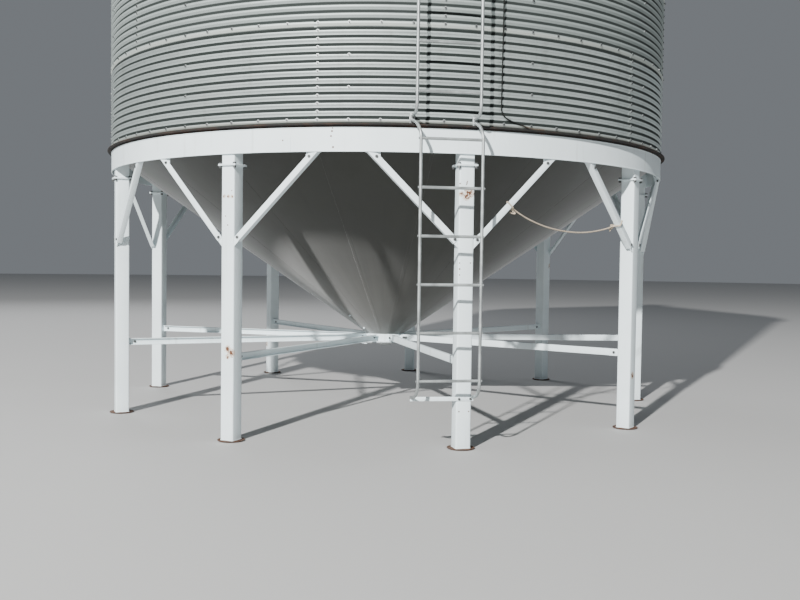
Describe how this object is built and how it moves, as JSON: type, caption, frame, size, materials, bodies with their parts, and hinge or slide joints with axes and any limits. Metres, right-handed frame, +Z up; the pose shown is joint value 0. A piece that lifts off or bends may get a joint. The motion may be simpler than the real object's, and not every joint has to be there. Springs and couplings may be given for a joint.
{
  "type": "hopper-bottom grain silo",
  "caption": "Round corrugated steel grain silo on a cone hopper, standing on braced posts, with a conical roof, an outside ladder and a slide gate at the outlet.",
  "frame": {"origin": "on the bin's axis, at ground level", "axes": "+Z up; -Y is the front, where the ladder stands; +X to the right seen from the front"},
  "size_m": [5.9706, 6.082, 8.9688],
  "materials": {
    "white_paint": "weathered gloss white paint, rusty at edges",
    "rusted_flange": "dark rust-brown steel",
    "hopper_steel": "dull grey sheet with faint seams",
    "galvanised_sheet": "weathered galvanised sheet",
    "galvanised_bar": "dull galvanised steel",
    "dark_cable": "dull dark wire cable",
    "rope_fibre": "worn twisted rope"
  },
  "bodies": {
    "silo": {"post_1": "white_paint", "post_2": "white_paint", "post_3": "white_paint", "post_4": "white_paint", "post_5": "white_paint", "post_6": "white_paint", "post_7": "white_paint", "post_8": "white_paint", "post_9": "white_paint", "brace_left_1": "white_paint", "brace_left_2": "white_paint", "brace_left_3": "white_paint", "brace_left_4": "white_paint", "brace_left_5": "white_paint", "brace_left_6": "white_paint", "brace_left_7": "white_paint", "brace_left_8": "white_paint", "brace_left_9": "white_paint", "brace_right_1": "white_paint", "brace_right_2": "white_paint", "brace_right_3": "white_paint", "brace_right_4": "white_paint", "brace_right_5": "white_paint", "brace_right_6": "white_paint", "brace_right_7": "white_paint", "brace_right_8": "white_paint", "brace_right_9": "white_paint", "spider_bar_1": "white_paint", "spider_bar_2": "white_paint", "spider_bar_3": "white_paint", "spider_bar_4": "white_paint", "spider_bar_5": "white_paint", "spider_bar_6": "white_paint", "spider_bar_7": "white_paint", "spider_bar_8": "white_paint", "spider_bar_9": "white_paint", "hopper_ring": "white_paint", "base_flange": "rusted_flange", "hopper_cone": "hopper_steel", "outlet_collar": "white_paint", "gate_frame": "white_paint", "wall": "galvanised_sheet", "roof": "galvanised_sheet", "fill_collar": "galvanised_sheet", "fill_lid": "galvanised_sheet", "ladder_upper": "galvanised_bar", "ladder_lower": "galvanised_bar", "ladder_crossbar": "white_paint", "lid_cable": "dark_cable", "rope": "rope_fibre"},
    "gate": {"gate_plate": "galvanised_bar"}
  },
  "joints": [
    {"name": "gate_slide", "type": "slide", "parent": "silo", "child": "gate", "axis": [0, 1, 0], "range_m": [0, 0.4]}
  ]
}
